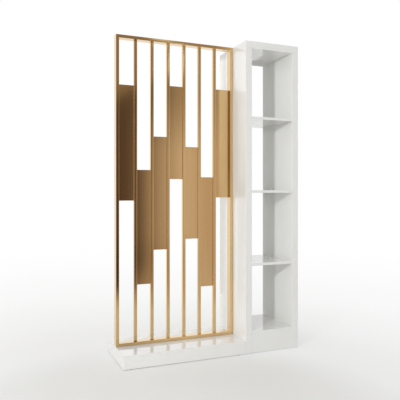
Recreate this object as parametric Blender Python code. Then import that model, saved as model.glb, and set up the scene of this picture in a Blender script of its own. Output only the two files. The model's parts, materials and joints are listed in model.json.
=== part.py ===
# Shelving room divider: an open shelf tower beside a metal screen of upright bars and staggered panels.
# The screen stands on a low plinth. Metres, +Z up, origin on the floor at the middle of the plan.

from math import pi, sqrt

import bmesh
import bpy
from mathutils import Matrix, Vector

for old in list(bpy.data.objects):
    bpy.data.objects.remove(old, do_unlink=True)

# Driving dimensions of the whole divider
OVERALL_HEIGHT = 2.0
DEPTH = 0.396
TOWER_WIDTH = 0.390
SCREEN_LENGTH = 0.794
PLINTH_HEIGHT = 0.0835
GLIDE_HEIGHT = 0.003
CLEARANCE = 0.0003
OVERRUN = 0.004
EASED_RADIUS = 0.002
EASED_SEGMENTS = 2
ROUND_SEGMENTS = 8
FINE_SEGMENTS = 12
SHARP_ANGLE = 0.7
MERGE_DISTANCE = 0.00001

# Tower boards
SIDE_THICKNESS = 0.044
TOP_THICKNESS = 0.046
SHELF_THICKNESS = 0.017
BASE_BOARD_THICKNESS = 0.018
DECK_HEIGHT = 0.141
SHELF_NAMES = ("tower_shelf_bottom", "tower_shelf_middle", "tower_shelf_top")
SHELF_TOP_SHARES = (0.2405, 0.499, 0.760)

# Dowels glued into the ends of the boards that lie across the tower, and into the top ends of its sides
DOWEL_DIAMETER = 0.008
DOWEL_REACH = 0.012
DOWEL_CHAMFER = 0.001
TOP_DOWEL_REACH = 0.020
DOWEL_DEPTH_SHARES = (0.18, 0.82)
DOWEL_HEIGHT_SHARES = (0.25, 0.70)

# Plinth boards
PLINTH_BOARD = 0.018
RIB_THICKNESS = 0.016
RIB_FLOOR_GAP = 0.012
RIB_LANES = {"plinth_rib_left": 3, "plinth_rib_right": 5}

# Glides under the tower and the plinth
TOWER_GLIDE_DIAMETER = 0.025
PLINTH_GLIDE_DIAMETER = 0.015
GLIDE_EASE = 0.0008
GLIDE_STEM_DIAMETER = 0.005
GLIDE_STEM_LENGTH = 0.012
TOWER_GLIDE_SHARES = {"front": 0.10, "back": 0.90}
PLINTH_GLIDE_SHARES = {"left": 0.06, "right": 0.94}

# Screen frame and bars
LANES = 7
SCREEN_SETBACK = 0.185
FRAME_WIDTH = 0.020
FRAME_DEPTH = 0.050
FRAME_WALL = 0.0012
BAR_SIZE = 0.020
BAR_WALL = 0.0010
INNER_CORNER = 0.0003
TUBE_CORNER_SEGMENTS = 2
KEY_ARM = 0.060

# Panels between the bars, lane by lane from the left
PANEL_THICKNESS = 0.008
PANEL_SHEET = 0.001
PANEL_INNER_BEND = 0.0005
PANEL_LONG = 0.718
PANEL_SHORT = 0.597
PANEL_HEIGHTS = (PANEL_LONG, PANEL_LONG, PANEL_LONG, PANEL_SHORT, PANEL_SHORT, PANEL_LONG, PANEL_LONG)
PANEL_MIDDLE_SHARES = (0.6581, 0.3784, 0.4918, 0.6989, 0.4927, 0.3564, 0.6680)
TAB_THICKNESS = 0.003
TAB_HEIGHT = 0.016
TAB_REACH = 0.004
TAB_HEIGHT_SHARES = (0.12, 0.88)

# Bolts, nuts and caps
BOLT_DIAMETER = 0.006
BOLT_HEAD_DIAMETER = 0.012
BOLT_HEAD_THICKNESS = 0.0035
BOLT_PAST_NUT = 0.002
WELD_NUT_DIAMETER = 0.014
WELD_NUT_THICKNESS = 0.005
BOLT_LANES = {"left": 2, "right": 6}
BOLT_CUBBIES = {"lower": 0, "upper": 3}
CAP_DIAMETER = 0.017
CAP_THICKNESS = 0.0015
JOINING_SCREW_REACH = 0.020
JOINING_SCREW_SHARES = {"front": 0.22, "back": 0.78}

# Places worked out from the driving dimensions
overall_length = SCREEN_LENGTH + TOWER_WIDTH
far_left = -overall_length / 2
tower_left = far_left + SCREEN_LENGTH
tower_right = tower_left + TOWER_WIDTH
inner_left = tower_left + SIDE_THICKNESS
inner_right = tower_right - SIDE_THICKNESS
front = -DEPTH / 2
back = DEPTH / 2
ceiling = OVERALL_HEIGHT - TOP_THICKNESS
screen_left = far_left
screen_right = tower_left - CLEARANCE
screen_low = PLINTH_HEIGHT + CLEARANCE
screen_high = OVERALL_HEIGHT
screen_middle = front + SCREEN_SETBACK + FRAME_DEPTH / 2
lane_pitch = (screen_right - screen_left - 2 * FRAME_WIDTH) / LANES
rail_top = screen_low + FRAME_WIDTH
rail_underside = screen_high - FRAME_WIDTH
bars_low = screen_low + FRAME_WALL + CLEARANCE
bars_high = screen_high - FRAME_WALL - CLEARANCE
frame_corner = FRAME_WALL + INNER_CORNER
bar_corner = BAR_WALL + INNER_CORNER
bolt_hole = BOLT_DIAMETER + 2 * CLEARANCE
dowel_hole = DOWEL_DIAMETER + 2 * CLEARANCE
stem_hole = GLIDE_STEM_DIAMETER + 2 * CLEARANCE
mitre_trim = CLEARANCE / sqrt(2)
panel_bend = PANEL_SHEET + PANEL_INNER_BEND
cap_recess = CAP_THICKNESS + 2 * CLEARANCE + BOLT_HEAD_THICKNESS

NEAR_FACE_SHARE = 0.49

along_x = Vector((1, 0, 0))
along_y = Vector((0, 1, 0))
along_z = Vector((0, 0, 1))

# The direction that points out of each side
outward = {
    "left": -along_x,
    "right": along_x,
    "front": -along_y,
    "back": along_y,
    "bottom": -along_z,
    "top": along_z,
}

# Finishes: colour, roughness, metallic
WHITE_LACQUER = ((0.80, 0.80, 0.78), 0.08, 0.0)
GOLD_STEEL = ((0.62, 0.44, 0.22), 0.22, 1.0)
BRONZE_STEEL = ((0.46, 0.29, 0.15), 0.28, 1.0)
RAW_BOARD = ((0.52, 0.40, 0.27), 0.75, 0.0)
ZINC = ((0.62, 0.62, 0.60), 0.35, 1.0)
BLACK_NYLON = ((0.04, 0.04, 0.04), 0.50, 0.0)


def make_parent(name, place):
    """An empty that carries one group of pieces."""
    empty = bpy.data.objects.new(name, None)
    empty.location = place
    bpy.context.collection.objects.link(empty)
    return empty


tower = make_parent("tower", ((tower_left + tower_right) / 2, 0, 0))
plinth = make_parent("plinth", ((screen_left + screen_right) / 2, 0, 0))
screen = make_parent("screen", ((screen_left + screen_right) / 2, screen_middle, screen_low))


def make_finish(name, finish):
    """A Principled material for one piece."""
    colour, roughness, metallic = finish
    material = bpy.data.materials.new(name + "_finish")
    material.use_nodes = True
    shader = material.node_tree.nodes["Principled BSDF"]
    shader.inputs["Base Color"].default_value = (*colour, 1)
    shader.inputs["Roughness"].default_value = roughness
    shader.inputs["Metallic"].default_value = metallic
    return material


def add_piece(name, shape, place, finish, parent):
    """Turns a bmesh built round its own origin into a named piece at a place in the room."""
    bmesh.ops.recalc_face_normals(shape, faces=shape.faces)
    mesh = bpy.data.meshes.new(name)
    shape.to_mesh(mesh)
    shape.free()
    mesh.shade_smooth()
    mesh.set_sharp_from_angle(angle=SHARP_ANGLE)
    mesh.materials.append(make_finish(name, finish))
    piece = bpy.data.objects.new(name, mesh)
    bpy.context.collection.objects.link(piece)
    piece.parent = parent
    piece.location = Vector(place) - parent.location
    return piece


def middle(low, high):
    """The point halfway between two corners."""
    return (Vector(low) + Vector(high)) / 2


def add_block(shape, low, high):
    """Adds a block between two corners to a bmesh, and returns its vertices."""
    size = Vector(high) - Vector(low)
    made = bmesh.ops.create_cube(shape, size=1)["verts"]
    bmesh.ops.scale(shape, vec=size, verts=made)
    bmesh.ops.translate(shape, vec=middle(low, high), verts=made)
    return made


def along(axis, start):
    """The matrix that takes +Z at the origin to an axis at a start point."""
    return Matrix.Translation(start) @ Vector(axis).to_track_quat("Z", "Y").to_matrix().to_4x4()


def bevel_edges(shape, edges, width, segments):
    """Bevels edges of a bmesh. Two segments or more give a rounded edge."""
    bmesh.ops.bevel(
        shape,
        geom=edges,
        offset=width,
        segments=segments,
        profile=0.5,
        affect="EDGES",
        clamp_overlap=True,
        material=-1,
    )


def add_rod(shape, start, axis, length, diameter, segments=ROUND_SEGMENTS, chamfer=0):
    """Adds a round rod that runs from start along the axis."""
    lift = Matrix.Translation((0, 0, length / 2))
    made = bmesh.ops.create_cone(
        shape,
        cap_ends=True,
        segments=segments,
        radius1=diameter / 2,
        radius2=diameter / 2,
        depth=length,
        matrix=along(axis, start) @ lift,
    )["verts"]
    if chamfer:
        ends = {face for vertex in made for face in vertex.link_faces if len(face.verts) == segments}
        rims = {edge for face in ends for edge in face.edges}
        bevel_edges(shape, list(rims), chamfer, 1)


def add_turned(shape, outline, start, axis, segments=FINE_SEGMENTS):
    """Spins an outline of (radius, distance along the axis) points round the axis."""
    turned = bmesh.new()
    points = [turned.verts.new((radius, 0, distance)) for radius, distance in outline]
    edges = [turned.edges.new(pair) for pair in zip(points, points[1:])]
    bmesh.ops.spin(
        turned,
        geom=points + edges,
        axis=along_z,
        cent=(0, 0, 0),
        angle=2 * pi,
        steps=segments,
        use_merge=True,
    )
    bmesh.ops.remove_doubles(turned, verts=turned.verts, dist=MERGE_DISTANCE)
    bmesh.ops.recalc_face_normals(turned, faces=turned.faces)
    bmesh.ops.transform(turned, matrix=along(axis, start), verts=turned.verts)
    spun = bpy.data.meshes.new("turned")
    turned.to_mesh(spun)
    turned.free()
    shape.from_mesh(spun)
    bpy.data.meshes.remove(spun)


def combine(piece, shape, operation):
    """Joins or cuts a piece with the bodies in a bmesh, which are given in room coordinates."""
    bmesh.ops.recalc_face_normals(shape, faces=shape.faces)
    name = operation.lower() + "_" + piece.name
    mesh = bpy.data.meshes.new(name)
    shape.to_mesh(mesh)
    shape.free()
    guide = bpy.data.objects.new(name, mesh)
    guide.hide_render = True
    guide.display_type = "WIRE"
    bpy.context.collection.objects.link(guide)
    boolean = piece.modifiers.new(name, "BOOLEAN")
    boolean.operation = operation
    boolean.solver = "EXACT"
    boolean.object = guide


def cut(piece, shape):
    """Takes the bodies in a bmesh out of a piece."""
    combine(piece, shape, "DIFFERENCE")


def fuse(piece, shape):
    """Joins glued or welded bodies in a bmesh to the piece that carries them."""
    combine(piece, shape, "UNION")


def ease_edges(shape, size, pairs):
    """Rounds the edges where the named pairs of faces of a centred block meet."""

    def lies_on(edge, side):
        near = abs(size.dot(outward[side])) * NEAR_FACE_SHARE
        return all(vertex.co.dot(outward[side]) > near for vertex in edge.verts)

    chosen = set()
    for one, other in pairs:
        chosen.update(edge for edge in shape.edges if lies_on(edge, one) and lies_on(edge, other))
    bevel_edges(shape, list(chosen), EASED_RADIUS, EASED_SEGMENTS)


def add_board(name, low, high, eased, finish, parent):
    """A board between two corners, with the named arrises eased."""
    size = Vector(high) - Vector(low)
    shape = bmesh.new()
    add_block(shape, -size / 2, size / 2)
    if eased:
        ease_edges(shape, size, eased)
    return add_piece(name, shape, middle(low, high), finish, parent)


def at_share(low, high, share):
    """The value at a share of the way from low to high."""
    return low + (high - low) * share


# Tower

upright_arrises = (("left", "front"), ("left", "back"), ("right", "front"), ("right", "back"))
long_arrises = (("front", "top"), ("front", "bottom"), ("back", "top"), ("back", "bottom"))
top_arrises = (("front", "top"), ("back", "top"), ("left", "top"), ("right", "top"))

shelf_tops = {
    name: at_share(DECK_HEIGHT, ceiling, share) for name, share in zip(SHELF_NAMES, SHELF_TOP_SHARES)
}
board_front = front + EASED_RADIUS
board_back = back - EASED_RADIUS
board_left = inner_left + CLEARANCE
board_right = inner_right - CLEARANCE
base_low = GLIDE_HEIGHT
deck_front = board_front + BASE_BOARD_THICKNESS + CLEARANCE
deck_back = board_back - BASE_BOARD_THICKNESS - CLEARANCE


def face_dowels():
    """The places of the dowels between the sides and what lies across them: name, y and z."""
    places = {"tower_deck": [], "tower_base_front": [], "tower_base_back": []}
    for name, top in shelf_tops.items():
        height = top - SHELF_THICKNESS / 2
        places[name] = [(at_share(board_front, board_back, share), height) for share in DOWEL_DEPTH_SHARES]
    for share in DOWEL_DEPTH_SHARES:
        depth = at_share(deck_front, deck_back, share)
        places["tower_deck"].append((depth, DECK_HEIGHT - SHELF_THICKNESS / 2))
    for share in DOWEL_HEIGHT_SHARES:
        height = at_share(base_low, DECK_HEIGHT, share)
        places["tower_base_front"].append((board_front + BASE_BOARD_THICKNESS / 2, height))
        places["tower_base_back"].append((board_back - BASE_BOARD_THICKNESS / 2, height))
    return places


def screen_bolt_heights():
    """The heights of the bolts between the tower and the screen, each in the middle of an open space."""
    floors = [DECK_HEIGHT] + sorted(shelf_tops.values())
    roofs = [top - SHELF_THICKNESS for top in sorted(shelf_tops.values())] + [ceiling]
    return {name: (floors[cubby] + roofs[cubby]) / 2 for name, cubby in BOLT_CUBBIES.items()}


def joining_screws():
    """The places of the screws between the plinth and the tower: y and z."""
    height = (GLIDE_HEIGHT + PLINTH_HEIGHT - PLINTH_BOARD) / 2
    return {name: (at_share(front, back, share), height) for name, share in JOINING_SCREW_SHARES.items()}


def make_side(name, left, right, sign):
    """One side of the tower. The sign points from the side to the inside of the tower."""
    side_top = ceiling - CLEARANCE
    side_low = (left, front, GLIDE_HEIGHT)
    side = add_board(name, side_low, (right, back, side_top), upright_arrises, WHITE_LACQUER, tower)
    glued = bmesh.new()
    for share in DOWEL_DEPTH_SHARES:
        start = ((left + right) / 2, at_share(front, back, share), side_top - DOWEL_REACH)
        length = DOWEL_REACH + CLEARANCE + TOP_DOWEL_REACH
        add_rod(glued, start, along_z, length, DOWEL_DIAMETER, chamfer=DOWEL_CHAMFER)
    fuse(side, glued)
    inner = right if sign > 0 else left
    holes = bmesh.new()
    for places in face_dowels().values():
        for y, z in places:
            start = (inner + sign * OVERRUN, y, z)
            add_rod(holes, start, -sign * along_x, DOWEL_REACH + CLEARANCE + OVERRUN, dowel_hole)
    for share in TOWER_GLIDE_SHARES.values():
        start = ((left + right) / 2, at_share(front, back, share), GLIDE_HEIGHT - OVERRUN)
        add_rod(holes, start, along_z, GLIDE_STEM_LENGTH + OVERRUN, stem_hole)
    if sign < 0:
        cut(side, holes)
        return
    for z in screen_bolt_heights().values():
        start = (left - OVERRUN, screen_middle, z)
        add_rod(holes, start, along_x, right - left + 2 * OVERRUN, bolt_hole, FINE_SEGMENTS)
    for y, z in joining_screws().values():
        depth = JOINING_SCREW_REACH + 2 * CLEARANCE + OVERRUN
        add_rod(holes, (left - OVERRUN, y, z), along_x, depth, bolt_hole, FINE_SEGMENTS)
    cut(side, holes)
    recesses = bmesh.new()
    recess_diameter = CAP_DIAMETER + 2 * CLEARANCE
    for z in screen_bolt_heights().values():
        start = (right + OVERRUN, screen_middle, z)
        add_rod(recesses, start, -along_x, cap_recess + OVERRUN, recess_diameter, FINE_SEGMENTS)
    cut(side, recesses)


make_side("tower_side_left", tower_left, inner_left, 1)
make_side("tower_side_right", inner_right, tower_right, -1)

top_low = (tower_left, front, ceiling)
top_high = (tower_right, back, OVERALL_HEIGHT)
top_board = add_board("tower_top", top_low, top_high, upright_arrises + top_arrises, WHITE_LACQUER, tower)
top_holes = bmesh.new()
for x in ((tower_left + inner_left) / 2, (inner_right + tower_right) / 2):
    for share in DOWEL_DEPTH_SHARES:
        start = (x, at_share(front, back, share), ceiling - OVERRUN)
        add_rod(top_holes, start, along_z, OVERRUN + TOP_DOWEL_REACH + CLEARANCE, dowel_hole)
cut(top_board, top_holes)


def make_cross_board(name, low, high, eased):
    """A board that lies across the tower, with the dowels that are glued into its ends."""
    piece = add_board(name, low, high, eased, WHITE_LACQUER, tower)
    glued = bmesh.new()
    for y, z in face_dowels()[name]:
        length = 2 * DOWEL_REACH + CLEARANCE
        left_root = (low[0] + DOWEL_REACH, y, z)
        right_root = (high[0] - DOWEL_REACH, y, z)
        add_rod(glued, left_root, -along_x, length, DOWEL_DIAMETER, chamfer=DOWEL_CHAMFER)
        add_rod(glued, right_root, along_x, length, DOWEL_DIAMETER, chamfer=DOWEL_CHAMFER)
    fuse(piece, glued)


for name, top in shelf_tops.items():
    shelf_low = (board_left, board_front, top - SHELF_THICKNESS)
    make_cross_board(name, shelf_low, (board_right, board_back, top), long_arrises)
deck_low = (board_left, deck_front, DECK_HEIGHT - SHELF_THICKNESS)
make_cross_board("tower_deck", deck_low, (board_right, deck_back, DECK_HEIGHT), ())
base_front_low = (board_left, board_front, base_low)
base_front_high = (board_right, board_front + BASE_BOARD_THICKNESS, DECK_HEIGHT)
make_cross_board("tower_base_front", base_front_low, base_front_high, (("front", "top"),))
base_back_low = (board_left, board_back - BASE_BOARD_THICKNESS, base_low)
base_back_high = (board_right, board_back, DECK_HEIGHT)
make_cross_board("tower_base_back", base_back_low, base_back_high, (("back", "top"),))


def add_glide(name, x, y, diameter, parent):
    """A nylon glide whose stem is pressed into the board above it."""
    radius = diameter / 2
    stem = GLIDE_STEM_DIAMETER / 2
    seat = GLIDE_HEIGHT - CLEARANCE
    stem_end = GLIDE_HEIGHT + GLIDE_STEM_LENGTH - CLEARANCE
    disc = [(0, 0), (radius - GLIDE_EASE, 0), (radius, GLIDE_EASE), (radius, seat)]
    shape = bmesh.new()
    add_turned(shape, disc + [(stem, seat), (stem, stem_end), (0, stem_end)], (0, 0, 0), along_z)
    add_piece(name, shape, (x, y, 0), BLACK_NYLON, parent)


for side_name, x in (("left", (tower_left + inner_left) / 2), ("right", (inner_right + tower_right) / 2)):
    for depth_name, share in TOWER_GLIDE_SHARES.items():
        y = at_share(front, back, share)
        add_glide("tower_glide_" + side_name + "_" + depth_name, x, y, TOWER_GLIDE_DIAMETER, tower)

# Plinth: five boards mitred together along every outer edge

plinth_size = Vector((screen_right - screen_left, DEPTH, PLINTH_HEIGHT - GLIDE_HEIGHT))
plinth_low = Vector((screen_left, front, GLIDE_HEIGHT))
mitred_sides = {
    "plinth_top": "top",
    "plinth_front": "front",
    "plinth_back": "back",
    "plinth_left_end": "left",
    "plinth_right_end": "right",
}


def slice_off(shape, point, direction):
    """Cuts away what lies past a plane and closes the cut."""
    geometry = shape.verts[:] + shape.edges[:] + shape.faces[:]
    cut_edges = bmesh.ops.bisect_plane(
        shape, geom=geometry, dist=MERGE_DISTANCE, plane_co=point, plane_no=direction, clear_outer=True
    )["geom_cut"]
    rim = [item for item in cut_edges if isinstance(item, bmesh.types.BMEdge)]
    bmesh.ops.contextual_create(shape, geom=rim)


def make_mitred_board(name, side):
    """One board of the plinth, cut from the eased block along its mitre planes."""
    shape = bmesh.new()
    add_block(shape, -plinth_size / 2, plinth_size / 2)
    ease_edges(shape, plinth_size, upright_arrises + top_arrises)
    out = outward[side]
    face_point = out * abs(plinth_size.dot(out)) / 2
    slice_off(shape, face_point - out * PLINTH_BOARD, -out)
    for other in mitred_sides.values():
        turn = outward[other]
        if turn.dot(out):
            continue
        corner = face_point + turn * abs(plinth_size.dot(turn)) / 2
        slice_off(shape, corner - turn * mitre_trim, turn - out)
    return add_piece(name, shape, plinth_low + plinth_size / 2, WHITE_LACQUER, plinth)


def lane_edges(lane):
    """The left and right faces that bound a lane of the screen, counted from 1."""
    left = screen_left + FRAME_WIDTH + lane_pitch * (lane - 1)
    right = left + lane_pitch
    if lane > 1:
        left += BAR_SIZE / 2
    if lane < LANES:
        right -= BAR_SIZE / 2
    return left, right


def lane_middle(lane):
    """The middle of a lane of the screen, counted from 1."""
    return sum(lane_edges(lane)) / 2


plinth_boards = {name: make_mitred_board(name, side) for name, side in mitred_sides.items()}
plinth_inner_right = screen_right - PLINTH_BOARD
plinth_inner_front = front + PLINTH_BOARD
plinth_inner_back = back - PLINTH_BOARD
plinth_ceiling = PLINTH_HEIGHT - PLINTH_BOARD

bolt_holes = bmesh.new()
for lane in BOLT_LANES.values():
    start = (lane_middle(lane), screen_middle, plinth_ceiling - OVERRUN)
    add_rod(bolt_holes, start, along_z, PLINTH_BOARD + 2 * OVERRUN, bolt_hole, FINE_SEGMENTS)
cut(plinth_boards["plinth_top"], bolt_holes)

end_holes = bmesh.new()
for y, z in joining_screws().values():
    start = (plinth_inner_right - OVERRUN, y, z)
    add_rod(end_holes, start, along_x, PLINTH_BOARD + 2 * OVERRUN, bolt_hole, FINE_SEGMENTS)
cut(plinth_boards["plinth_right_end"], end_holes)

for depth_name, y in (("front", front + PLINTH_BOARD / 2), ("back", back - PLINTH_BOARD / 2)):
    stem_holes = bmesh.new()
    for side_name, share in PLINTH_GLIDE_SHARES.items():
        x = at_share(screen_left, screen_right, share)
        add_rod(stem_holes, (x, y, GLIDE_HEIGHT - OVERRUN), along_z, GLIDE_STEM_LENGTH + OVERRUN, stem_hole)
        add_glide("plinth_glide_" + side_name + "_" + depth_name, x, y, PLINTH_GLIDE_DIAMETER, plinth)
    cut(plinth_boards["plinth_" + depth_name], stem_holes)

for name, lane in RIB_LANES.items():
    x = lane_middle(lane)
    rib_low = (x - RIB_THICKNESS / 2, plinth_inner_front + CLEARANCE, GLIDE_HEIGHT + RIB_FLOOR_GAP)
    rib_high = (x + RIB_THICKNESS / 2, plinth_inner_back - CLEARANCE, plinth_ceiling - CLEARANCE)
    add_board(name, rib_low, rib_high, (), RAW_BOARD, plinth)

# Screen: a mitred frame of hollow tube with hollow upright bars between its rails


def make_tube_shape(width, depth, wall, corner, low, high, mitred):
    """A hollow upright tube with its inner side towards +X, centred on its width and depth."""
    shape = bmesh.new()
    bmesh.ops.create_grid(shape, x_segments=1, y_segments=1, size=1)
    bmesh.ops.scale(shape, vec=(width / 2, depth / 2, 1), verts=shape.verts)
    bmesh.ops.bevel(
        shape,
        geom=shape.verts[:],
        offset=corner,
        segments=TUBE_CORNER_SEGMENTS,
        profile=0.5,
        affect="VERTICES",
        material=-1,
    )
    outer_face = shape.faces[:]
    bmesh.ops.inset_region(shape, faces=outer_face, thickness=wall, use_even_offset=True, use_boundary=True)
    bmesh.ops.delete(shape, geom=outer_face, context="FACES")
    ring = shape.faces[:]
    raised = bmesh.ops.extrude_face_region(shape, geom=ring)["geom"]
    raised_points = {item for item in raised if isinstance(item, bmesh.types.BMVert)}
    for vertex in shape.verts:
        across = vertex.co.x + width / 2 + mitre_trim if mitred else 0
        vertex.co.z = high - across if vertex in raised_points else low + across
    return shape


half_rail = (screen_right - screen_left) / 2
frame_tubes = {}


def make_stile(name, outer, turn):
    """An upright of the frame. Its inner side is turned towards the bars."""
    length = screen_high - screen_low
    shape = make_tube_shape(FRAME_WIDTH, FRAME_DEPTH, FRAME_WALL, frame_corner, 0, length, True)
    place = (outer + turn * FRAME_WIDTH / 2, screen_middle, screen_low)
    stile = add_piece(name, shape, place, GOLD_STEEL, screen)
    if turn < 0:
        stile.rotation_euler.z = pi
    frame_tubes[name] = stile


def make_rail(name, height, turn):
    """A rail of the frame. Its inner side is turned towards the bars."""
    shape = make_tube_shape(FRAME_WIDTH, FRAME_DEPTH, FRAME_WALL, frame_corner, -half_rail, half_rail, True)
    place = ((screen_left + screen_right) / 2, screen_middle, height + turn * FRAME_WIDTH / 2)
    rail = add_piece(name, shape, place, GOLD_STEEL, screen)
    rail.rotation_euler.y = -turn * pi / 2
    frame_tubes[name] = rail


make_stile("frame_left_stile", screen_left, 1)
make_stile("frame_right_stile", screen_right, -1)
make_rail("frame_bottom_rail", screen_low, 1)
make_rail("frame_top_rail", screen_high, -1)


def bar_middle(number):
    """The middle of a bar, counted from 1. The bars divide the clear width of the frame equally."""
    return screen_left + FRAME_WIDTH + lane_pitch * number


bars = {}
for number in range(1, LANES):
    bar_shape = make_tube_shape(BAR_SIZE, BAR_SIZE, BAR_WALL, bar_corner, 0, bars_high - bars_low, False)
    bar_place = (bar_middle(number), screen_middle, bars_low)
    bars[number] = add_piece("bar_" + str(number), bar_shape, bar_place, GOLD_STEEL, screen)

bar_hole = BAR_SIZE / 2 + CLEARANCE


def pierce_rail(rail_name, low, high):
    """Cuts the holes by which the bars enter the hollow of a rail."""
    holes = bmesh.new()
    for number in range(1, LANES):
        x = bar_middle(number)
        hole_low = (x - bar_hole, screen_middle - bar_hole, low)
        add_block(holes, hole_low, (x + bar_hole, screen_middle + bar_hole, high))
    cut(frame_tubes[rail_name], holes)


pierce_rail("frame_bottom_rail", bars_low, rail_top + OVERRUN)
pierce_rail("frame_top_rail", rail_underside - OVERRUN, bars_high)

key_depth = FRAME_DEPTH - 2 * FRAME_WALL - 2 * CLEARANCE
key_near = FRAME_WALL + CLEARANCE
key_far = FRAME_WIDTH - FRAME_WALL - CLEARANCE
key_end = FRAME_WIDTH + KEY_ARM


def make_corner_key(name, corner_x, x_sign, corner_z, z_sign):
    """An angle of solid metal that fills the ends of a stile and a rail."""
    outline = [(key_near, key_near), (key_end, key_near), (key_end, key_far)]
    outline += [(key_far, key_far), (key_far, key_end), (key_near, key_end)]
    shape = bmesh.new()
    points = [shape.verts.new((x_sign * across, -key_depth / 2, z_sign * up)) for across, up in outline]
    face = shape.faces.new(points)
    raised = bmesh.ops.extrude_face_region(shape, geom=[face])["geom"]
    raised_points = [item for item in raised if isinstance(item, bmesh.types.BMVert)]
    bmesh.ops.translate(shape, vec=(0, key_depth, 0), verts=raised_points)
    add_piece(name, shape, (corner_x, screen_middle, corner_z), ZINC, screen)


for side_name, corner_x, x_sign in (("left", screen_left, 1), ("right", screen_right, -1)):
    for height_name, corner_z, z_sign in (("bottom", screen_low, 1), ("top", screen_high, -1)):
        make_corner_key("corner_key_" + height_name + "_" + side_name, corner_x, x_sign, corner_z, z_sign)

# Panels: a folded front tray and a folded back lid that nests in it, with welded tabs that enter the bars


def make_pan(name, size, open_side, place):
    """A shallow pan of folded sheet, open at the front or at the back."""
    shape = bmesh.new()
    add_block(shape, -size / 2, size / 2)
    out = outward[open_side]
    open_face = max(shape.faces, key=lambda face: face.calc_center_median().dot(out))
    bmesh.ops.delete(shape, geom=[open_face], context="FACES_ONLY")
    folds = [edge for edge in shape.edges if all(vertex.co.dot(out) < 0 for vertex in edge.verts)]
    bevel_edges(shape, folds, panel_bend, EASED_SEGMENTS)
    pan = add_piece(name, shape, place, BRONZE_STEEL, screen)
    sheet = pan.modifiers.new("sheet", "SOLIDIFY")
    sheet.thickness = PANEL_SHEET
    sheet.offset = -1
    sheet.use_even_offset = True
    return pan


tube_slots = {name: bmesh.new() for name in ("frame_left_stile", "frame_right_stile")}
tube_slots.update({"bar_" + str(number): bmesh.new() for number in bars})


def bounding_tube(lane, side):
    """The name and the wall of the tube that bounds a lane on one side."""
    if side < 0:
        return ("frame_left_stile", FRAME_WALL) if lane == 1 else ("bar_" + str(lane - 1), BAR_WALL)
    return ("frame_right_stile", FRAME_WALL) if lane == LANES else ("bar_" + str(lane), BAR_WALL)


def add_tab(tabs, face, side, lane, z):
    """Adds a tab that is welded to a tray and enters the slot that it cuts in the tube beside it."""
    tube_name, wall = bounding_tube(lane, side)
    root = face - side * (CLEARANCE + PANEL_SHEET / 2)
    tip = face + side * (wall + TAB_REACH)
    half_depth = TAB_THICKNESS / 2
    half_height = TAB_HEIGHT / 2
    low = Vector((min(root, tip), screen_middle - half_depth, z - half_height))
    high = Vector((max(root, tip), screen_middle + half_depth, z + half_height))
    add_block(tabs, low, high)
    room = Vector((CLEARANCE, CLEARANCE, CLEARANCE))
    add_block(tube_slots[tube_name], low - room, high + room)


for lane in range(1, LANES + 1):
    lane_left, lane_right = lane_edges(lane)
    height = PANEL_HEIGHTS[lane - 1]
    panel_height_middle = at_share(rail_top, rail_underside, PANEL_MIDDLE_SHARES[lane - 1])
    tray_middle = Vector((lane_middle(lane), screen_middle, panel_height_middle))
    tray_size = Vector((lane_right - lane_left - 2 * CLEARANCE, PANEL_THICKNESS, height))
    tray = make_pan("panel_" + str(lane) + "_front", tray_size, "back", tray_middle)
    tabs = bmesh.new()
    for share in TAB_HEIGHT_SHARES:
        z = at_share(panel_height_middle - height / 2, panel_height_middle + height / 2, share)
        add_tab(tabs, lane_left, -1, lane, z)
        add_tab(tabs, lane_right, 1, lane, z)
    fuse(tray, tabs)
    lid_edge = 2 * (PANEL_SHEET + CLEARANCE)
    lid_depth = PANEL_THICKNESS - PANEL_SHEET - CLEARANCE
    lid_size = Vector((tray_size.x - lid_edge, lid_depth, height - lid_edge))
    lid_middle = tray_middle + Vector((0, (PANEL_THICKNESS - lid_depth) / 2, 0))
    make_pan("panel_" + str(lane) + "_back", lid_size, "front", lid_middle)

for number, bar in bars.items():
    cut(bar, tube_slots["bar_" + str(number)])

# Bolts that hold the screen to the plinth and the tower, and screws that hold the plinth to the tower


def add_bolt(name, seat, axis, grip, parent):
    """A bolt whose head seats at a point and whose shank runs on for its grip."""
    head = BOLT_HEAD_DIAMETER / 2
    shank = BOLT_DIAMETER / 2
    outline = [(0, -BOLT_HEAD_THICKNESS), (head, -BOLT_HEAD_THICKNESS), (head, 0)]
    shape = bmesh.new()
    add_turned(shape, outline + [(shank, 0), (shank, grip), (0, grip)], (0, 0, 0), axis)
    add_piece(name, shape, seat, ZINC, parent)


weld_nuts = {"frame_bottom_rail": bmesh.new(), "frame_right_stile": bmesh.new()}
bolt_ways = {"frame_bottom_rail": bmesh.new(), "frame_right_stile": bmesh.new()}


def add_weld_nut(tube_name, outer_face, axis):
    """Adds the nut that is welded inside a tube, and the way for its bolt through the wall and the nut."""
    nut_start = Vector(outer_face) + Vector(axis) * (FRAME_WALL / 2)
    nut_length = FRAME_WALL / 2 + WELD_NUT_THICKNESS
    add_rod(weld_nuts[tube_name], nut_start, axis, nut_length, WELD_NUT_DIAMETER, FINE_SEGMENTS)
    way_start = Vector(outer_face) - Vector(axis) * OVERRUN
    way_length = OVERRUN + FRAME_WALL + WELD_NUT_THICKNESS + OVERRUN
    add_rod(bolt_ways[tube_name], way_start, axis, way_length, bolt_hole, FINE_SEGMENTS)


for side_name, lane in BOLT_LANES.items():
    rail_face = Vector((lane_middle(lane), screen_middle, screen_low))
    add_weld_nut("frame_bottom_rail", rail_face, along_z)
    head_seat = plinth_ceiling - CLEARANCE
    grip = screen_low + FRAME_WALL + WELD_NUT_THICKNESS + BOLT_PAST_NUT - head_seat
    bolt_seat = (rail_face.x, screen_middle, head_seat)
    add_bolt("plinth_screen_bolt_" + side_name, bolt_seat, along_z, grip, plinth)

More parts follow.
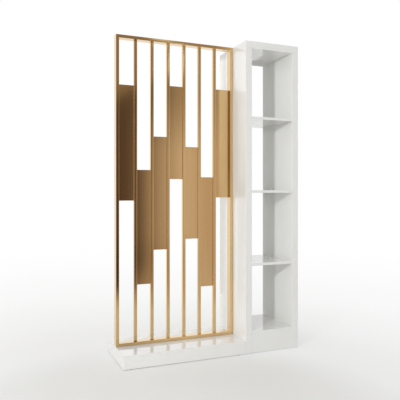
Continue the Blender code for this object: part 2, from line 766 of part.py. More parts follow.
for height_name, z in screen_bolt_heights().items():
    add_weld_nut("frame_right_stile", (screen_right, screen_middle, z), -along_x)
    head_seat = inner_left - cap_recess + CLEARANCE
    grip = head_seat - screen_right + FRAME_WALL + WELD_NUT_THICKNESS + BOLT_PAST_NUT
    add_bolt("tower_screen_bolt_" + height_name, (head_seat, screen_middle, z), -along_x, grip, tower)
    cap_shape = bmesh.new()
    add_rod(cap_shape, (0, 0, 0), along_x, CAP_THICKNESS, CAP_DIAMETER, FINE_SEGMENTS)
    cap_place = (inner_left - CAP_THICKNESS, screen_middle, z)
    add_piece("tower_bolt_cap_" + height_name, cap_shape, cap_place, WHITE_LACQUER, tower)

for name, nuts in weld_nuts.items():
    fuse(frame_tubes[name], nuts)
    cut(frame_tubes[name], bolt_ways[name])
for name in ("frame_left_stile", "frame_right_stile"):
    cut(frame_tubes[name], tube_slots[name])

for depth_name, (y, z) in joining_screws().items():
    head_seat = plinth_inner_right - CLEARANCE
    grip = tower_left + JOINING_SCREW_REACH - head_seat
    add_bolt("plinth_joining_screw_" + depth_name, (head_seat, y, z), along_x, grip, plinth)
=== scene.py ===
import json
from math import atan2, cos, pi, radians, sin, sqrt

import bmesh
import bpy
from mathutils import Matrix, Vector


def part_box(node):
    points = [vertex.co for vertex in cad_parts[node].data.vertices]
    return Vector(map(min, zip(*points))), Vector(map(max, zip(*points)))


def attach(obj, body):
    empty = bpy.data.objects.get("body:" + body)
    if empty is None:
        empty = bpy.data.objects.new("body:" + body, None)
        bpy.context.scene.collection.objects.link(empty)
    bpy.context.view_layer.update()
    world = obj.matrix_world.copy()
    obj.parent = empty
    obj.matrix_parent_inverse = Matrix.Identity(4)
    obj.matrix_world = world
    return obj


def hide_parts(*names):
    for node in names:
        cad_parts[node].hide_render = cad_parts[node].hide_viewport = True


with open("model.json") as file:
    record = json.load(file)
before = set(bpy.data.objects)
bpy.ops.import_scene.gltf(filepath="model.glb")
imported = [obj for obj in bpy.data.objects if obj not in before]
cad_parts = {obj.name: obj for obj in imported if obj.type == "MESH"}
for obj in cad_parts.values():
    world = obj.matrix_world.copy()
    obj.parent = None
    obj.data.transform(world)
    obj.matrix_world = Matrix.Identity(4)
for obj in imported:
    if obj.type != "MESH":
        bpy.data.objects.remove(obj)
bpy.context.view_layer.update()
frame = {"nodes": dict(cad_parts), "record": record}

nodes = frame["nodes"]
slotOfNode = {part["node"]: part["material_slot"] for part in frame["record"]["subparts"]}
print("frame loaded:", len(nodes), "nodes")


# camera

cameraLook = {
    "place": (-1.3216, -3.1142, 1.0221),
    "turnDegrees": 22.502,  # to the right of straight ahead
    "lens": 46.36,
    "sensor": 36.0,
    "shiftY": -0.0154,  # the horizon lies a little above the middle of the frame
}


def addCamera(look):
    data = bpy.data.cameras.new("studioCamera")
    data.sensor_width = look["sensor"]
    data.lens = look["lens"]
    data.shift_y = look["shiftY"]
    camera = bpy.data.objects.new("studioCamera", data)
    camera.location = look["place"]
    camera.rotation_euler = (radians(90), 0, -radians(look["turnDegrees"]))
    bpy.context.scene.collection.objects.link(camera)
    bpy.context.scene.camera = camera


addCamera(cameraLook)
bpy.context.scene.view_settings.view_transform = "Standard"
print("camera placed")


# small helpers for node trees

def newTree(name):
    material = bpy.data.materials.new(name)
    material.use_nodes = True
    tree = material.node_tree
    return material, tree, tree.nodes["Principled BSDF"]


def addNode(tree, kind, **settings):
    node = tree.nodes.new(kind)
    for key, value in settings.items():
        if key in node.inputs:
            node.inputs[key].default_value = value
        else:
            setattr(node, key, value)
    return node


def reckon(tree, operation, *values):
    node = addNode(tree, "ShaderNodeMath", operation=operation)
    for socket, value in zip(node.inputs, values):
        if isinstance(value, (int, float)):
            socket.default_value = value
        else:
            tree.links.new(value, socket)
    return node.outputs["Value"]


noiseRange = (0.3, 0.7)  # where most values of a noise texture lie


def remap(tree, value, low, high, fromLow=noiseRange[0], fromHigh=noiseRange[1]):
    ranged = addNode(tree, "ShaderNodeMapRange")
    ranged.inputs["From Min"].default_value = fromLow
    ranged.inputs["From Max"].default_value = fromHigh
    ranged.inputs["To Min"].default_value = low
    ranged.inputs["To Max"].default_value = high
    tree.links.new(value, ranged.inputs["Value"])
    return ranged.outputs["Result"]


def mixColours(tree, share, first, second):
    mix = addNode(tree, "ShaderNodeMix", data_type="RGBA")
    slots = [socket for socket in mix.inputs if socket.type == "RGBA"]
    for socket, colour in zip(slots, (first, second)):
        if isinstance(colour, tuple):
            socket.default_value = (*colour, 1)
        else:
            tree.links.new(colour, socket)
    tree.links.new(share, mix.inputs["Factor"])
    return next(socket for socket in mix.outputs if socket.type == "RGBA")


def mixShaders(tree, share, first, second):
    mix = addNode(tree, "ShaderNodeMixShader")
    tree.links.new(share, mix.inputs["Fac"])
    tree.links.new(first, mix.inputs[1])
    tree.links.new(second, mix.inputs[2])
    return mix.outputs["Shader"]


def rampColours(tree, value, stops):
    low, high = stops[0][0], stops[-1][0]
    ramp = addNode(tree, "ShaderNodeValToRGB")
    elements = ramp.color_ramp.elements
    while len(elements) < len(stops):
        elements.new(1)
    for element, (place, colour) in zip(elements, stops):
        element.position = (place - low) / (high - low)
        element.color = (*colour, 1)
    tree.links.new(remap(tree, value, 0, 1, low, high), ramp.inputs["Fac"])
    return ramp.outputs["Color"]


def placeParts(tree, coordinates="Object"):
    place = addNode(tree, "ShaderNodeTexCoord")
    parts = addNode(tree, "ShaderNodeSeparateXYZ")
    tree.links.new(place.outputs[coordinates], parts.inputs["Vector"])
    return parts.outputs["X"], parts.outputs["Y"], parts.outputs["Z"]


def distanceFrom(tree, parts, middle):
    squares = []
    for part, centre in zip(parts, middle):
        away = reckon(tree, "SUBTRACT", part, centre)
        squares.append(reckon(tree, "MULTIPLY", away, away))
    return reckon(tree, "SQRT", reckon(tree, "ADD", *squares))


def stretchedNoise(tree, scale, detail, roughness=0.55):
    place = addNode(tree, "ShaderNodeTexCoord")
    mapping = addNode(tree, "ShaderNodeMapping", Scale=scale)
    noise = addNode(tree, "ShaderNodeTexNoise", Scale=1.0, Detail=detail, Roughness=roughness)
    tree.links.new(place.outputs["Object"], mapping.inputs["Vector"])
    tree.links.new(mapping.outputs["Vector"], noise.inputs["Vector"])
    return noise.outputs["Fac"]


def seenRays(tree):  # 1 for rays that end up in the picture: straight, off gloss or through glass
    ray = addNode(tree, "ShaderNodeLightPath")
    cameraOrGloss = reckon(tree, "MAXIMUM", ray.outputs["Is Camera Ray"], ray.outputs["Is Glossy Ray"])
    return reckon(tree, "MAXIMUM", cameraOrGloss, ray.outputs["Is Transmission Ray"])


def addBump(tree, shader, height, strength, distance):
    bump = addNode(tree, "ShaderNodeBump", Strength=strength, Distance=distance)
    tree.links.new(height, bump.inputs["Height"])
    tree.links.new(bump.outputs["Normal"], shader.inputs["Normal"])


# materials

lacquerLook = {
    "colour": (0.83, 0.83, 0.81),
    "colourDeep": (0.81, 0.81, 0.785),
    "roughness": (0.035, 0.075),
    "smearScale": (9.0, 9.0, 4.0),  # of the noise that the roughness follows
    "ior": 1.5,
    "coatWeight": 0.45,  # a polished clear coat over the white
    "coatRoughness": 0.04,
    "peelScale": 420.0,  # orange peel of a sprayed and polished lacquer
    "peelStrength": 0.05,
    "peelDepth": 0.00012,
    "cloudScale": 3.0,
}


def lacquerMaterial(look):
    material, tree, shader = newTree("whiteLacquer")
    cloud = stretchedNoise(tree, (look["cloudScale"],) * 3, detail=2.0)
    tint = mixColours(tree, cloud, look["colour"], look["colourDeep"])
    tree.links.new(tint, shader.inputs["Base Color"])
    smear = stretchedNoise(tree, look["smearScale"], detail=4.0)
    tree.links.new(remap(tree, smear, *look["roughness"]), shader.inputs["Roughness"])
    shader.inputs["IOR"].default_value = look["ior"]
    shader.inputs["Coat Weight"].default_value = look["coatWeight"]
    shader.inputs["Coat Roughness"].default_value = look["coatRoughness"]
    peel = stretchedNoise(tree, (look["peelScale"],) * 3, detail=1.0)
    addBump(tree, shader, peel, look["peelStrength"], look["peelDepth"])
    return material


hairlineLook = {
    "gold": {
        "colour": (0.80, 0.575, 0.285),
        "colourDeep": (0.76, 0.535, 0.26),
        "roughness": (0.09, 0.13),
        "bump": 0.05,
    },
    "bronze": {
        "colour": (0.80, 0.56, 0.275),
        "colourDeep": (0.75, 0.515, 0.245),
        "roughness": (0.10, 0.14),
        "bump": 0.07,
    },
    "anisotropic": 0.5,
    "linePitch": 2600.0,  # hairlines to the metre, across the grain
    "lineRun": 6.0,  # and along it
    "lineDepth": 0.00002,
    "streakPitch": 260.0,
    "streakRun": 0.8,
    "coatWeight": 0.8,  # the clear coat over the coloured steel
    "coatRoughness": 0.12,
}


def grainScale(grain, along, across):
    return [along if axis == grain else across for axis in "XYZ"]


def hairlineMaterial(name, finish, grain):
    look = hairlineLook[finish]
    material, tree, shader = newTree(name)
    lines = grainScale(grain, hairlineLook["lineRun"], hairlineLook["linePitch"])
    streaks = grainScale(grain, hairlineLook["streakRun"], hairlineLook["streakPitch"])
    fine = stretchedNoise(tree, lines, detail=2.0)
    broad = stretchedNoise(tree, streaks, detail=3.0)
    tint = mixColours(tree, remap(tree, broad, 0, 1), look["colour"], look["colourDeep"])
    tree.links.new(tint, shader.inputs["Base Color"])
    tree.links.new(remap(tree, broad, *look["roughness"]), shader.inputs["Roughness"])
    shader.inputs["Metallic"].default_value = 1.0
    shader.inputs["Anisotropic"].default_value = hairlineLook["anisotropic"]
    shader.inputs["Coat Weight"].default_value = hairlineLook["coatWeight"]
    shader.inputs["Coat Roughness"].default_value = hairlineLook["coatRoughness"]
    tangent = addNode(tree, "ShaderNodeTangent", direction_type="RADIAL", axis=grain)
    tree.links.new(tangent.outputs["Tangent"], shader.inputs["Tangent"])
    addBump(tree, shader, fine, look["bump"], hairlineLook["lineDepth"])
    return material


plainLook = {
    "rawBoard": {
        "colour": (0.50, 0.37, 0.24),
        "colourDeep": (0.40, 0.29, 0.18),
        "roughness": (0.65, 0.85),
        "metallic": 0.0,
        "grainScale": 700.0,
        "bump": 0.3,
    },
    "zincSteel": {
        "colour": (0.62, 0.62, 0.60),
        "colourDeep": (0.52, 0.53, 0.53),
        "roughness": (0.28, 0.42),
        "metallic": 1.0,
        "grainScale": 300.0,
        "bump": 0.1,
    },
    "blackNylon": {
        "colour": (0.035, 0.035, 0.037),
        "colourDeep": (0.025, 0.025, 0.027),
        "roughness": (0.42, 0.58),
        "metallic": 0.0,
        "grainScale": 900.0,
        "bump": 0.2,
    },
    "grainDepth": 0.0001,
}


def plainMaterial(name):
    look = plainLook[name]
    material, tree, shader = newTree(name)
    grain = stretchedNoise(tree, (look["grainScale"],) * 3, detail=5.0)
    tint = mixColours(tree, remap(tree, grain, 0, 1), look["colour"], look["colourDeep"])
    tree.links.new(tint, shader.inputs["Base Color"])
    tree.links.new(remap(tree, grain, *look["roughness"]), shader.inputs["Roughness"])
    shader.inputs["Metallic"].default_value = look["metallic"]
    addBump(tree, shader, grain, look["bump"], plainLook["grainDepth"])
    return material


finishOfSlot = {
    "white_lacquer": lacquerMaterial(lacquerLook),
    "gold_steel": hairlineMaterial("goldUpright", "gold", "Z"),
    "bronze_steel": hairlineMaterial("bronzeSheet", "bronze", "Z"),
    "raw_board": plainMaterial("rawBoard"),
    "zinc_steel": plainMaterial("zincSteel"),
    "black_nylon": plainMaterial("blackNylon"),
}
goldLevel = hairlineMaterial("goldLevel", "gold", "X")  # for the rails, whose grain runs level


def finishOf(name):
    return goldLevel if name.endswith("_rail") else finishOfSlot[slotOfNode[name]]


for name, node in nodes.items():
    node.data.materials.clear()
    node.data.materials.append(finishOf(name))
print("materials set")


# dressed pieces: lacquered boards and polished tubes whose joints show no gap

dressLook = {
    "merge": 0.00001,  # vertices this close become one
    "flat": 0.005,  # in radians: faces that differ by less become one
    "sharp": 0.7,  # in radians: edges that turn by more stay sharp
    "gap": 0.0003,  # what the solids leave free at a butt joint
}
gap = dressLook["gap"]
mitreGap = gap / sqrt(2)
x, y, z = 0, 1, 2
dressed = {}


def pushPast(shape, axis, plane, push):  # what lies past the plane moves on, to close a joint
    for vertex in shape.verts:
        if (vertex.co[axis] - plane) * push > 0:
            vertex.co[axis] += push


def closeEnds(shape, axis, low, high, depth, push):  # the same at both ends of a span
    pushPast(shape, axis, low + depth, -push)
    pushPast(shape, axis, high - depth, push)


def placePiece(name, shape):
    mesh = bpy.data.meshes.new(name + "_dressed")
    shape.to_mesh(mesh)
    shape.free()
    mesh.shade_smooth()
    mesh.set_sharp_from_angle(angle=dressLook["sharp"])
    mesh.materials.append(finishOf(name))
    piece = bpy.data.objects.new(name + "_dressed", mesh)
    bpy.context.scene.collection.objects.link(piece)
    shading = piece.modifiers.new("flatFaces", "WEIGHTED_NORMAL")
    shading.keep_sharp = True
    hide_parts(name)
    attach(piece, "root")
    dressed[name] = piece


def dressNode(name, change=None):
    shape = bmesh.new()
    shape.from_mesh(nodes[name].data)
    bmesh.ops.remove_doubles(shape, verts=shape.verts, dist=dressLook["merge"])
    if change:
        change(shape)
    flat = dressLook["flat"]
    bmesh.ops.dissolve_limit(shape, angle_limit=flat, verts=shape.verts, edges=shape.edges)
    placePiece(name, shape)


# tower

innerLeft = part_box("tower_side_left")[1][x]
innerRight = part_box("tower_side_right")[0][x]
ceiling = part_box("tower_top")[0][z]


def meetTop(shape):
    pushPast(shape, z, ceiling - 2 * gap, gap)


def meetSides(shape):
    closeEnds(shape, x, innerLeft, innerRight, 2 * gap, gap)


def meetSidesAndBase(shape):
    meetSides(shape)
    deckLow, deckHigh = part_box("tower_deck")
    closeEnds(shape, y, deckLow[y], deckHigh[y], gap, gap)


for name in ("tower_side_left", "tower_side_right"):
    dressNode(name, meetTop)
for name in ("shelf_bottom", "shelf_middle", "shelf_top", "base_front", "base_back"):
    dressNode("tower_" + name, meetSides)
dressNode("tower_deck", meetSidesAndBase)
dressNode("tower_top")
print("tower dressed")


# plinth

plinthLook = {"board": 0.018}
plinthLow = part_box("plinth_left_end")[0]
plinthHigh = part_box("plinth_right_end")[1]
mitreDepth = plinthLook["board"] + 2 * gap


def closeMitres(*axes):
    def change(shape):
        for axis in axes:
            if axis == z:
                pushPast(shape, z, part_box("plinth_top")[1][z] - mitreDepth, mitreGap)
            else:
                closeEnds(shape, axis, plinthLow[axis], plinthHigh[axis], mitreDepth, mitreGap)

    return change


dressNode("plinth_top", closeMitres(x, y))
for name in ("plinth_front", "plinth_back"):
    dressNode(name, closeMitres(x, z))
for name in ("plinth_left_end", "plinth_right_end"):
    dressNode(name, closeMitres(y, z))
print("plinth dressed")


# screen

screenLook = {"tube": 0.020, "bars": 6}
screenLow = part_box("frame_bottom_rail")[0]
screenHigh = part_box("frame_top_rail")[1]
cornerDepth = screenLook["tube"] + 2 * gap


def meetRails(shape):
    closeEnds(shape, z, screenLow[z], screenHigh[z], cornerDepth, mitreGap)


def meetStilesAndBars(shape):
    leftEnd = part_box("frame_left_stile")[0][x]
    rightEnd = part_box("frame_right_stile")[1][x]
    closeEnds(shape, x, leftEnd, rightEnd, cornerDepth, mitreGap)
    for number in range(1, screenLook["bars"] + 1):
        low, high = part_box(f"bar_{number}")
        for vertex in shape.verts:
            place = vertex.co
            if all(low[axis] - 2 * gap < place[axis] < high[axis] + 2 * gap for axis in (x, y)):
                place.x = min(max(place.x, low[x]), high[x])
                place.y = min(max(place.y, low[y]), high[y])


for name in ("frame_left_stile", "frame_right_stile"):
    dressNode(name, meetRails)
for name in ("frame_bottom_rail", "frame_top_rail"):
    dressNode(name, meetStilesAndBars)
for name in nodes:
    if name.startswith(("bar_", "panel_")):
        dressNode(name)
metalSlots = ("gold_steel", "bronze_steel")
metalPieces = [piece for name, piece in dressed.items() if slotOfNode[name] in metalSlots]
print("screen dressed:", len(metalPieces), "pieces")


# round pieces: caps over the tower's bolts, glides, and bolts with a hexagonal socket

roundLook = {
    "steps": 48,
    "rimSegments": 3,
    "cornerDegrees": 50,  # a corner that turns by more gets a rim
    "cap": {"rim": 0.0005},
    "glide": {"rim": 0.0008, "pad": 0.0027, "stem": 0.005},
    "bolt": {
        "rim": 0.0006,
        "head": 0.0035,
        "shank": 0.006,
        "socket": 0.005,
        "socketDepth": 0.002,
        "ease": 0.0004,  # the slope at the socket's mouth
    },
}


def turnPiece(name, axis, facing, outline, rim, change=None):  # the outline starts at the head
    low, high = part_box(name)
    centre = [(first + last) / 2 for first, last in zip(low, high)]
    start = low[axis] if facing > 0 else high[axis]
    outwards = (axis + 1) % 3
    shape = bmesh.new()
    for depth, radius in outline:
        place = centre[:]
        place[axis] = start + facing * depth
        place[outwards] += radius
        shape.verts.new(place)
    row = shape.verts[:]
    for pair in zip(row, row[1:]):
        shape.edges.new(pair)
    turnAxis = [0, 0, 0]
    turnAxis[axis] = 1
    bmesh.ops.spin(
        shape,
        geom=shape.verts[:] + shape.edges[:],
        cent=centre,
        axis=turnAxis,
        angle=2 * pi,
        steps=roundLook["steps"],
        use_merge=True,
    )
    bmesh.ops.remove_doubles(shape, verts=shape.verts, dist=dressLook["merge"])
    bmesh.ops.recalc_face_normals(shape, faces=shape.faces)
    sharpest = radians(roundLook["cornerDegrees"])
    corners = [edge for edge in shape.edges if edge.is_manifold and edge.calc_face_angle() > sharpest]
    bmesh.ops.bevel(
        shape,
        geom=corners,
        offset=rim,
        offset_type="OFFSET",
        affect="EDGES",
        segments=roundLook["rimSegments"],
        profile=0.5,
        material=-1,
    )
    if change:
        change(shape, axis, facing, centre)
    placePiece(name, shape)


def sinkSocket(shape, axis, facing, centre):  # the open middle of the head is drawn in to a hexagon
    bolt = roundLook["bolt"]
    first, second = (axis + 1) % 3, (axis + 2) % 3
    for depth in (bolt["ease"], bolt["socketDepth"]):
        rim = [edge for edge in shape.edges if edge.is_boundary]
        made = bmesh.ops.extrude_edge_only(shape, edges=rim)["geom"]
        for vertex in [item for item in made if isinstance(item, bmesh.types.BMVert)]:
            angle = atan2(vertex.co[second] - centre[second], vertex.co[first] - centre[first])
            reach = bolt["socket"] / 2 / cos(angle % (pi / 3) - pi / 6)
            vertex.co[first] = centre[first] + reach * cos(angle)
            vertex.co[second] = centre[second] + reach * sin(angle)
            vertex.co[axis] += facing * depth
    bmesh.ops.contextual_create(shape, geom=[edge for edge in shape.edges if edge.is_boundary])
    bmesh.ops.recalc_face_normals(shape, faces=shape.faces)


def roundSize(name, axis):  # its radius and length
    low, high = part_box(name)
    return (high[(axis + 1) % 3] - low[(axis + 1) % 3]) / 2, high[axis] - low[axis]


def addCap(name):
    radius, length = roundSize(name, x)
    outline = ((0, 0), (0, radius), (length, radius), (length, 0))
    turnPiece(name, x, -1, outline, roundLook["cap"]["rim"])


def addGlide(name):
    glide = roundLook["glide"]
    radius, length = roundSize(name, z)
    pad, stem = glide["pad"], glide["stem"] / 2
    outline = ((0, 0), (0, radius), (pad, radius), (pad, stem), (length, stem), (length, 0))
    turnPiece(name, z, 1, outline, glide["rim"])


def addBolt(name, axis, facing):
    bolt = roundLook["bolt"]
    radius, length = roundSize(name, axis)
    head, shank = bolt["head"], bolt["shank"] / 2
    mouth = bolt["socket"] / 2 / cos(pi / 6) + bolt["ease"]
    outline = ((0, mouth), (0, radius), (head, radius), (head, shank), (length, shank), (length, 0))
    turnPiece(name, axis, facing, outline, bolt["rim"], sinkSocket)


for name in nodes:
    if "_cap_" in name:
        addCap(name)
    elif "_glide_" in name:
        addGlide(name)
    elif name.startswith("tower_screen_bolt"):
        addBolt(name, x, -1)
    elif name.startswith("plinth_screen_bolt"):
        addBolt(name, z, 1)
    elif name.startswith("plinth_joining_screw"):
        addBolt(name, x, 1)
print("round pieces turned")


# floor, and glowing sheets that only gloss sees: painted reflections and painted shade

floorLook = {
    "size": 60.0,
    "colour": (0.84, 0.84, 0.82),
    "roughness": 0.55,
    "whiteMiddle": (-0.6, -1.0),
    "whiteStops": (  # metres from the middle, and how far the floor has gone to white there
        (0.7, 0.0),
        (0.96, 0.07),
        (1.3, 0.42),
        (1.6, 0.48),
        (2.0, 0.62),
        (3.0, 0.82),
        (5.0, 0.94),
        (7.5, 1.0),
    ),
}


def addStage(name, shape, material):  # something that isn't part of the object
    mesh = bpy.data.meshes.new(name)
    shape.to_mesh(mesh)
    shape.free()
    mesh.materials.append(material)
    thing = bpy.data.objects.new(name, mesh)
    bpy.context.scene.collection.objects.link(thing)
    return thing


def floorMaterial(look):
    material, tree, shader = newTree("studioFloor")
    across, deep, _ = placeParts(tree)
    distance = distanceFrom(tree, (across, deep), look["whiteMiddle"])
    stops = [(place, (share,) * 3) for place, share in look["whiteStops"]]
    fade = reckon(tree, "MULTIPLY", rampColours(tree, distance, stops), seenRays(tree))
    shader.inputs["Base Color"].default_value = (*look["colour"], 1)
    shader.inputs["Roughness"].default_value = look["roughness"]
    white = addNode(tree, "ShaderNodeEmission", Strength=1.0)
    surface = mixShaders(tree, fade, shader.outputs["BSDF"], white.outputs["Emission"])
    tree.links.new(surface, tree.nodes["Material Output"].inputs["Surface"])
    return material


floorShape = bmesh.new()
bmesh.ops.create_grid(floorShape, x_segments=1, y_segments=1, size=floorLook["size"] / 2)
addStage("studioFloor", floorShape, floorMaterial(floorLook))

# glowing sheets seen only in gloss: painted reflections of a room in the steel and lacquer, dark and
# light bands included
reflectionSheetLook = {
    "front": {
        "side": -1,
        "start": 0.4,
        "near": 1.75,  # it starts to turn solid here
        "solidFrom": 2.7,  # and is solid from here on
        "far": 4.5,  # its wall stands here
        "floorShare": 0.12,  # how solid it is on the floor before that
        "slant": 0.4,  # how much further out it turns solid for each metre to the left
        "left": -2.6,
        "right": 6.0,
        "lean": 0.37,  # how far its tones shift to the left for each metre nearer to the object
        "tones": {  # painted reflection tones, each from left to right; the other bands lie over the main one
            "main": (
                (-2.6, (0.50, 0.47, 0.43)),
                (-1.0, (0.30, 0.25, 0.22)),
                (0.0, (0.07, 0.04, 0.03)),
                (0.5, (0.088, 0.054, 0.042)),
                (0.82, (0.108, 0.07, 0.056)),
                (1.05, (0.42, 0.345, 0.295)),
                (1.2, (0.52, 0.45, 0.395)),
                (1.3, (0.48, 0.40, 0.35)),
                (1.5, (0.72, 0.655, 0.60)),
                (1.7, (0.77, 0.695, 0.655)),
                (1.9, (0.54, 0.425, 0.325)),
                (2.1, (0.60, 0.475, 0.39)),
                (2.26, (0.575, 0.51, 0.475)),
                (2.4, (0.68, 0.63, 0.58)),
                (6.0, (0.80, 0.78, 0.75)),
            ),
            "upper": (
                (0.0, (0.08, 0.05, 0.04)),
                (0.8, (0.095, 0.07, 0.056)),
                (1.3, (0.24, 0.20, 0.17)),
                (1.5, (0.43, 0.355, 0.295)),
                (2.1, (0.41, 0.33, 0.265)),
                (2.26, (0.42, 0.40, 0.38)),
                (2.4, (0.64, 0.58, 0.54)),
            ),
            "ceiling": (
                (0.0, (0.28, 0.21, 0.16)),
                (0.8, (0.30, 0.23, 0.18)),
                (1.04, (0.285, 0.22, 0.175)),
                (1.5, (0.29, 0.23, 0.185)),
                (1.8, (0.38, 0.31, 0.255)),
                (2.1, (0.32, 0.26, 0.22)),
                (2.4, (0.70, 0.62, 0.56)),
            ),
            "foot": (
                (0.6, (0.055, 0.037, 0.022)),
                (0.85, (0.065, 0.04, 0.03)),
                (1.03, (0.35, 0.275, 0.23)),
                (1.6, (0.62, 0.54, 0.48)),
                (1.86, (0.65, 0.59, 0.54)),
                (2.05, (0.54, 0.43, 0.35)),
                (2.4, (0.70, 0.63, 0.57)),
            ),
            "floor": (
                (0.0, (0.10, 0.03, 0.015)),
                (1.1, (0.16, 0.045, 0.02)),
                (1.3, (0.24, 0.085, 0.07)),
                (1.5, (0.40, 0.31, 0.16)),
                (1.85, (0.40, 0.36, 0.21)),
                (2.05, (0.18, 0.14, 0.10)),
                (2.4, (0.68, 0.60, 0.53)),
            ),
        },
        "upperFrom": (1.7, 2.6),  # where each band begins and where it is full
        "ceilingFrom": (2.2, 2.3),
        "ceilingRise": 0.5,  # the ceiling's edge climbs to the right
        "footFrom": (0.4, 0.15),
        "floorFrom": (2.0, 1.4),
        "highlightPatches": (  # bright patches, painted highlights in the steel; place: across and up; climb: its rise to the right; size: where its edge fades
            {"place": (1.4, 3.08), "climb": 0.7, "size": (0.12, 0.22), "tone": (1.1, 1.06, 1.0)},
            {"place": (1.2, 3.5), "climb": 0.0, "size": (0.17, 0.23), "tone": (0.84, 0.78, 0.68)},
        ),
    },
    "back": {
        "side": 1,
        "start": 3.6,
        "near": 3.6,
        "solidFrom": 3.7,
        "far": 4.5,
        "left": -1.2,
        "right": 0.4,
        "lean": 0.0,
        "tones": {
            "main": (
                (-1.2, (0.90, 0.89, 0.87)),
                (-0.6, (0.25, 0.22, 0.20)),
                (-0.2, (0.25, 0.22, 0.20)),
                (0.4, (0.90, 0.89, 0.87)),
            ),
        },
    },
    "lift": 0.004,  # above the floor
    "sweep": 0.6,  # the radius between the floor and the wall
    "sweepSteps": 10,
    "height": 4.6,
}


def glowWhere(tree, shader, solid):  # a sheet glows where it is solid, and is clear elsewhere
    glow = addNode(tree, "ShaderNodeEmission", Strength=1.0)
    clear = addNode(tree, "ShaderNodeBsdfTransparent")
    surface = mixShaders(tree, solid, clear.outputs["BSDF"], glow.outputs["Emission"])
    tree.links.new(surface, tree.nodes["Material Output"].inputs["Surface"])
    tree.nodes.remove(shader)
    return glow.inputs["Color"]


def widen(shape, step):  # draws the edges out into a sheet
    made = bmesh.ops.extrude_edge_only(shape, edges=shape.edges[:])["geom"]
    moved = [item for item in made if isinstance(item, bmesh.types.BMVert)]
    bmesh.ops.translate(shape, vec=step, verts=moved)


def showInGloss(thing):
    thing.visible_camera = False
    thing.visible_diffuse = False
    thing.visible_shadow = False


# the sheet's glow is a painted reflection: bands of tone across it, and bright patches as painted
# highlights
def reflectionSheetMaterial(name, look):
    material, tree, shader = newTree(name)
    across, deep, up = placeParts(tree)
    outward = reckon(tree, "MULTIPLY", deep, look["side"])
    leaning = reckon(tree, "MULTIPLY", reckon(tree, "SUBTRACT", look["far"], outward), look["lean"])
    along = reckon(tree, "ADD", across, leaning)
    climbing = reckon(tree, "MULTIPLY_ADD", across, -look.get("ceilingRise", 0), up)
    tone = rampColours(tree, along, look["tones"]["main"])
    for band, height in (("upper", up), ("ceiling", climbing), ("foot", up), ("floor", outward)):
        if band in look["tones"]:
            share = remap(tree, height, 0, 1, *look[band + "From"])
            tone = mixColours(tree, share, tone, rampColours(tree, along, look["tones"][band]))
    # each bright patch glows on the sheet as a painted highlight in the steel
    for lamp in look.get("highlightPatches", ()):
        middle, height = lamp["place"]
        level = reckon(tree, "MULTIPLY_ADD", across, -lamp["climb"], up)
        distance = distanceFrom(tree, (across, level), (middle, height - middle * lamp["climb"]))
        share = remap(tree, distance, 1, 0, *lamp["size"])
        tone = mixColours(tree, share, tone, lamp["tone"])
    slanted = reckon(tree, "MULTIPLY_ADD", along, look.get("slant", 0), outward)
    solid = remap(tree, slanted, look.get("floorShare", 0), 1, look["near"], look["solidFrom"])
    tree.links.new(tone, glowWhere(tree, shader, solid))
    return material


def addReflectionSheet(name, look):  # a painted-reflection sheet: it lies on the floor and sweeps up to a wall
    shape = bmesh.new()
    lift, sweep, far = reflectionSheetLook["lift"], reflectionSheetLook["sweep"], look["far"]
    start = shape.verts.new((look["left"], look["side"] * look["start"], lift))
    knee = shape.verts.new((look["left"], look["side"] * (far - sweep), lift))
    shape.edges.new((start, knee))
    turned = bmesh.ops.spin(
        shape,
        geom=[knee],
        cent=(look["left"], look["side"] * (far - sweep), lift + sweep),
        axis=(1, 0, 0),
        angle=look["side"] * pi / 2,
        steps=reflectionSheetLook["sweepSteps"],
    )["geom_last"]
    last = next(item for item in turned if isinstance(item, bmesh.types.BMVert))
    top = bmesh.ops.extrude_vert_indiv(shape, verts=[last])["verts"]
    bmesh.ops.translate(shape, vec=(0, 0, reflectionSheetLook["height"] - lift - sweep), verts=top)
    widen(shape, (look["right"] - look["left"], 0, 0))
    showInGloss(addStage(name, shape, reflectionSheetMaterial(name, look)))


addReflectionSheet("frontReflectionSheet", reflectionSheetLook["front"])
addReflectionSheet("backReflectionSheet", reflectionSheetLook["back"])

cardLook = {  # dark sheets upright behind the tower: painted shade in what its inner walls and ceilings reflect
    "tone": (0.31, 0.305, 0.295),
    "top": 2.6,
    "cards": {
        "tallCard": {"across": 0.21, "near": 0.585, "far": 1.2, "bottom": 0.01, "faces": 1},
        "highCard": {"across": 0.7, "near": 0.38, "far": 0.75, "bottom": 1.78, "faces": -1},
    },
}


def cardMaterial(look):
    material, tree, shader = newTree("paintedShadeCard")
    side = addNode(tree, "ShaderNodeNewGeometry")
    front = reckon(tree, "SUBTRACT", 1, side.outputs["Backfacing"])
    glowWhere(tree, shader, front).default_value = (*look["tone"], 1)
    return material


def addCard(name, card, material):  # it glows on the side that it faces, and is clear from behind: painted shade seen only in gloss
    shape = bmesh.new()
    foot = shape.verts.new((card["across"], card["near"], card["bottom"]))
    head = bmesh.ops.extrude_vert_indiv(shape, verts=[foot])["verts"]
    bmesh.ops.translate(shape, vec=(0, 0, cardLook["top"] - card["bottom"]), verts=head)
    widen(shape, (0, card["far"] - card["near"], 0))
    shape.normal_update()
    turned = [face for face in shape.faces if face.normal.x * card["faces"] < 0]
    bmesh.ops.reverse_faces(shape, faces=turned)
    showInGloss(addStage(name, shape, material))


paintedShadeCard = cardMaterial(cardLook)
for name, card in cardLook["cards"].items():
    addCard(name, card, paintedShadeCard)
print("floor, reflectionSheets and cards set")


# light

lampLook = {
    "key": {"place": (-3.55, -3.08, 2.1), "aim": (0.4, 0.0, 1.0), "size": 0.2, "power": 70.0},
    "second": {"place": (-2.65, -3.14, 2.1), "aim": (0.4, 0.0, 1.0), "size": 0.2, "power": 5.0},
    "behind": {
        "place": (-2.2, 1.9, 1.4),
        "aim": (0.2, 0.1, 1.0),
        "size": 1.2,
        "power": 23.6,
        "only": ("tower_side_left", "plinth_top"),  # whose colour it evens out
    },
}


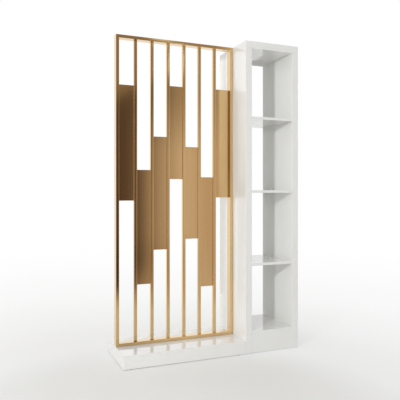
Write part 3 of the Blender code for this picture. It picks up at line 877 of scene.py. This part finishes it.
def addLamp(name, look):
    data = bpy.data.lights.new(name, "AREA")
    data.shape = "DISK"
    data.size = look["size"]
    data.energy = look["power"]
    lamp = bpy.data.objects.new(name, data)
    lamp.location = look["place"]
    ray = Vector(look["aim"]) - Vector(look["place"])
    lamp.rotation_euler = ray.to_track_quat("-Z", "Y").to_euler()
    lamp.visible_camera = False
    bpy.context.scene.collection.objects.link(lamp)
    return lamp


def linkLight(lamp, pieces, state):
    chosen = bpy.data.collections.new(lamp.name + "Pieces")
    for piece in pieces:
        chosen.objects.link(piece)
    lamp.light_linking.receiver_collection = chosen
    for entry in chosen.collection_objects:
        entry.light_linking.link_state = state


for name, look in lampLook.items():
    lamp = addLamp(name, look)
    if "only" in look:
        linkLight(lamp, [dressed[node] for node in look["only"]], "INCLUDE")
        lamp.visible_glossy = False
    else:
        linkLight(lamp, metalPieces, "EXCLUDE")  # so that the steel throws no glare

worldLook = {  # how strongly the room lights the object from each side
    "left": 0.66,
    "right": 0.2,
    "front": 0.37,
    "back": 0.14,
    "above": 0.66,
}


def setWorld(look):
    world = bpy.data.worlds.new("studio")
    bpy.context.scene.world = world
    world.use_nodes = True
    tree = world.node_tree
    tree.nodes.clear()
    across, deep, up = placeParts(tree, "Generated")
    strength = 0
    sides = {
        "left": (across, -1),
        "right": (across, 1),
        "front": (deep, -1),
        "back": (deep, 1),
        "above": (up, 1),
    }
    for side, (part, sign) in sides.items():
        facing = reckon(tree, "MAXIMUM", reckon(tree, "MULTIPLY", part, sign), 0)
        strength = reckon(tree, "MULTIPLY_ADD", facing, look[side], strength)
    pale = addNode(tree, "ShaderNodeBackground", Color=(1, 1, 1, 1), Strength=1.0)
    fill = addNode(tree, "ShaderNodeBackground", Color=(1, 1, 1, 1))
    tree.links.new(strength, fill.inputs["Strength"])
    surface = mixShaders(tree, seenRays(tree), fill.outputs["Background"], pale.outputs["Background"])
    out = addNode(tree, "ShaderNodeOutputWorld")
    tree.links.new(surface, out.inputs["Surface"])


setWorld(worldLook)
print("light set")
